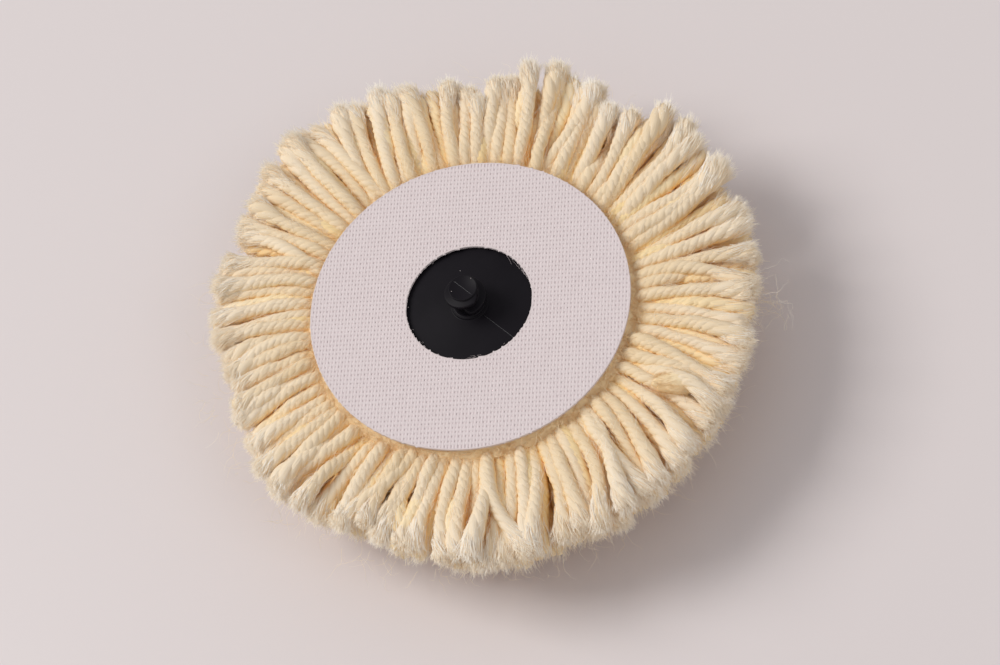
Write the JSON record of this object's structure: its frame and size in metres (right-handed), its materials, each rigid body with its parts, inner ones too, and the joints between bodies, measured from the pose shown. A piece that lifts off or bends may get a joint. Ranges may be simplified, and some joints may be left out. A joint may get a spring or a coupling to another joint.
{
  "type": "wool polishing pad",
  "caption": "Round wool polishing pad: twisted yarn tufts spread from under a white woven backing disc with a central hole, where a black threaded stud stands on its plate.",
  "frame": {"origin": "on the pad's axis, at the polishing face, where the wool meets the table", "axes": "+Z along the axis, out of the backing cloth and through the stud; the pad lies on its wool with the stud up. The wool spreads alike along X and Y."},
  "size_m": [0.1298, 0.1298, 0.0354],
  "materials": {
    "white_backing_cloth": "matte",
    "adhesive_film": "satin",
    "black_nylon": "satin",
    "tan_latex": "matte",
    "tufting_canvas": "matte",
    "wool_yarn": "matte"
  },
  "bodies": {
    "root": {"backing_cloth": "white_backing_cloth", "cloth_glue": "adhesive_film", "threaded_plate": "black_nylon", "plate_glue": "adhesive_film", "latex_coat": "tan_latex", "tufting_cloth": "tufting_canvas", "pile_row_2": "wool_yarn", "pile_row_3": "wool_yarn", "pile_row_4": "wool_yarn", "pile_core": "wool_yarn", "yarn_tuft_01": "wool_yarn", "yarn_tuft_02": "wool_yarn", "yarn_tuft_03": "wool_yarn", "yarn_tuft_04": "wool_yarn", "yarn_tuft_05": "wool_yarn", "yarn_tuft_06": "wool_yarn", "yarn_tuft_07": "wool_yarn", "yarn_tuft_08": "wool_yarn", "yarn_tuft_09": "wool_yarn", "yarn_tuft_10": "wool_yarn", "yarn_tuft_11": "wool_yarn", "yarn_tuft_12": "wool_yarn", "yarn_tuft_13": "wool_yarn", "yarn_tuft_14": "wool_yarn", "yarn_tuft_15": "wool_yarn", "yarn_tuft_16": "wool_yarn", "yarn_tuft_17": "wool_yarn", "yarn_tuft_18": "wool_yarn", "yarn_tuft_19": "wool_yarn", "yarn_tuft_20": "wool_yarn", "yarn_tuft_21": "wool_yarn", "yarn_tuft_22": "wool_yarn", "yarn_tuft_23": "wool_yarn", "yarn_tuft_24": "wool_yarn", "yarn_tuft_25": "wool_yarn", "yarn_tuft_26": "wool_yarn", "yarn_tuft_27": "wool_yarn", "yarn_tuft_28": "wool_yarn", "yarn_tuft_29": "wool_yarn", "yarn_tuft_30": "wool_yarn", "yarn_tuft_31": "wool_yarn", "yarn_tuft_32": "wool_yarn", "yarn_tuft_33": "wool_yarn", "yarn_tuft_34": "wool_yarn", "yarn_tuft_35": "wool_yarn", "yarn_tuft_36": "wool_yarn", "yarn_tuft_37": "wool_yarn", "yarn_tuft_38": "wool_yarn", "yarn_tuft_39": "wool_yarn", "yarn_tuft_40": "wool_yarn", "yarn_tuft_41": "wool_yarn", "yarn_tuft_42": "wool_yarn", "yarn_tuft_43": "wool_yarn", "yarn_tuft_44": "wool_yarn", "yarn_tuft_45": "wool_yarn", "yarn_tuft_46": "wool_yarn", "yarn_tuft_47": "wool_yarn", "yarn_tuft_48": "wool_yarn"}
  },
  "joints": []
}
